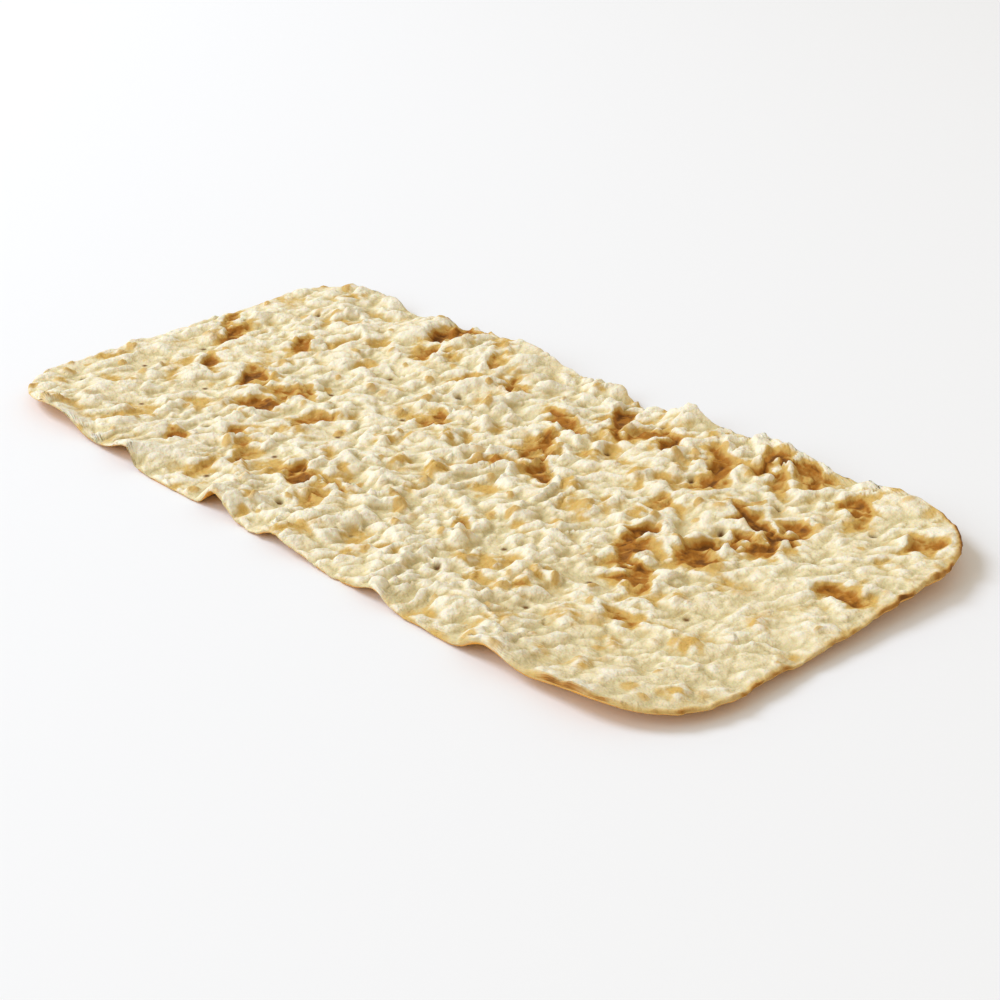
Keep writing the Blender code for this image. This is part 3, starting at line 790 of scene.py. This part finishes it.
# Each layer of colour goes over the one before. It is (what it follows, where it starts, where it is full,
# how much, colour).
layers = (
    # These two warmth layers are partly painted shade: warm cream and straw in hollows, creases and wrinkle
    # valleys.
    (warmth_and_shade, 0.4, 1.3, 1.0, WARM_CREAM),
    (warmth_and_shade, 1.1, 2.0, 0.9, STRAW),
    (cloudy["freckles"], 0.56, 0.76, 0.5, STRAW),
    (stored["golden_tops"], 0.15, 0.65, 0.9, GOLDEN),
    (stored["golden_tops"], 0.75, 1.1, 0.8, TOASTED),
    (brown, 0.36, 0.68, 1.0, GOLDEN),
    (brown, 0.7, 1.12, 1.0, TOASTED),
    (brown, 1.05, 1.6, 0.85, SCORCHED),
    (stored["rim"], 0.0, 0.7, 0.8, GOLDEN),
    (stored["rim"], 0.6, 1.1, 0.9, TOASTED),
    (stored["rim"], 1.0, 1.3, 0.8, SCORCHED),
    (stored["underside"], 0.0, 1.0, 1.0, UNDERSIDE_GOLD),
    # Painted shade: the pin holes are painted dark brown to stand for the dark deep inside them.
    (stored["pinhole"], 0.2, 0.9, 1.0, PINHOLE_SHADE_BROWN),
)
colour = linear(PALE_CREAM)
for socket, start, full, most, tone in layers:
    limits = {0: socket, 1: start, 2: full, 4: most}
    share = add("ShaderNodeMapRange", {"interpolation_type": "SMOOTHSTEP"}, limits)
    mix = add("ShaderNodeMix", {"data_type": "RGBA"}, {0: share.outputs[0], 6: colour, 7: linear(tone)})
    colour = mix.outputs[2]
tree.links.new(colour, shader.inputs["Base Color"])

# The crumb: fine crepe-like wrinkles, and flour pores in them. Real pores are finer than this, and are
# drawn as coarse as they need to be to show. Dry crumb scatters light, so its shine is broad and faint.
crumb = add("ShaderNodeMath", times_and_plus, {0: wrinkles, 1: 0.8, 2: cloudy["flour"]})
relief = {"Height": crumb.outputs[0], "Strength": 1.0, "Distance": CRUMB_DEPTH * MM}
bump = add("ShaderNodeBump", {}, relief)
tree.links.new(bump.outputs["Normal"], shader.inputs["Normal"])
shader.inputs["Roughness"].default_value = 0.75
shader.inputs["Specular IOR Level"].default_value = 0.22
shader.inputs["Subsurface Weight"].default_value = 0.2
shader.inputs["Subsurface Radius"].default_value = (1.0, 0.5, 0.18)
shader.inputs["Subsurface Scale"].default_value = LIGHT_SINKS_IN * MM
mesh.materials.append(baked_dough)

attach(crust, "root")
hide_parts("crust")

# ---------------------------------------------------------------------------------------------------------
# The crust lies loose on a broad white table with a matt painted top. The table is only there for the
# picture. Matt white paint gives a pale even ground with hardly any shine, which shows the soft shadow
# round the crust.

TABLE_WHITE = "F2F2F2"
TABLE_REACH = 6.0
TABLE_CLEARANCE = 0.1

table_corners = [(x * TABLE_REACH, y * TABLE_REACH, 0.0) for x, y in ((-1, -1), (1, -1), (1, 1), (-1, 1))]
table_mesh = bpy.data.meshes.new("table")
table_mesh.from_pydata(table_corners, [], [(0, 1, 2, 3)])
table = bpy.data.objects.new("table", table_mesh)
table.location.z = low[2] - TABLE_CLEARANCE * MM
bpy.context.scene.collection.objects.link(table)
tabletop = bpy.data.materials.new("white_tabletop")
tabletop.use_nodes = True
paint = tabletop.node_tree.nodes["Principled BSDF"]
paint.inputs["Base Color"].default_value = linear(TABLE_WHITE)
paint.inputs["Roughness"].default_value = 0.9
paint.inputs["Specular IOR Level"].default_value = 0.1
table_mesh.materials.append(tabletop)

# ---------------------------------------------------------------------------------------------------------
# Light, as the camera sees it: a white room, a window behind the crust on the left that rakes over its
# relief, and a large pale card in front of it on the left. The room is a little warm and the two lights a
# little cool, so shadows are warm.

ROOM_WHITE = "FFF6E6"
ROOM_STRENGTH = 0.64
COOL_DAYLIGHT = (0.89, 1.0, 1.19)
LIGHT_DISTANCE = 3.2

world = bpy.data.worlds.new("white_studio")
world.use_nodes = True
world.node_tree.nodes["Background"].inputs["Color"].default_value = linear(ROOM_WHITE)
world.node_tree.nodes["Background"].inputs["Strength"].default_value = ROOM_STRENGTH
bpy.context.scene.world = world
bpy.context.scene.view_settings.view_transform = "Standard"

# Each light is (name, turn round the crust, height in degrees, width in metres, watts).
for name, turn_degrees, height_degrees, width, watts in (
    ("window", 205.0, 42.0, 1.4, 55.0),
    ("card", 250.0, 30.0, 2.4, 27.0),
):
    light_data = bpy.data.lights.new(name, "AREA")
    light_data.shape = "DISK"
    light_data.size = width
    light_data.energy = watts
    light_data.color = COOL_DAYLIGHT
    light = bpy.data.objects.new(name, light_data)
    turn, height = math.radians(turn_degrees), math.radians(height_degrees)
    level = math.cos(height)
    toward = Vector((math.cos(turn) * level, math.sin(turn) * level, math.sin(height)))
    light.location = toward * LIGHT_DISTANCE
    light.rotation_euler = (-toward).to_track_quat("-Z", "Y").to_euler()
    bpy.context.scene.collection.objects.link(light)

# ---------------------------------------------------------------------------------------------------------
# The camera looks down on the crust across its front right corner, from a little over half a metre away.

CAMERA_TURN = 47.1
CAMERA_HEIGHT = 26.2
CAMERA_DISTANCE = 0.578
CAMERA_LENS = 69.4
CAMERA_SENSOR = 36.0
AIM = (0.0875, -0.042)

camera_data = bpy.data.cameras.new("camera")
camera_data.lens = CAMERA_LENS
camera_data.sensor_width = CAMERA_SENSOR
camera = bpy.data.objects.new("camera", camera_data)
turn, height = math.radians(CAMERA_TURN), math.radians(CAMERA_HEIGHT)
level = math.cos(height)
looks = Vector((-math.sin(turn) * level, math.cos(turn) * level, -math.sin(height)))
aim = Vector((AIM[0] * LENGTH * MM, AIM[1] * WIDTH * MM, low[2]))
camera.location = aim - looks * CAMERA_DISTANCE
camera.rotation_euler = looks.to_track_quat("-Z", "Y").to_euler()
bpy.context.scene.collection.objects.link(camera)
bpy.context.scene.camera = camera
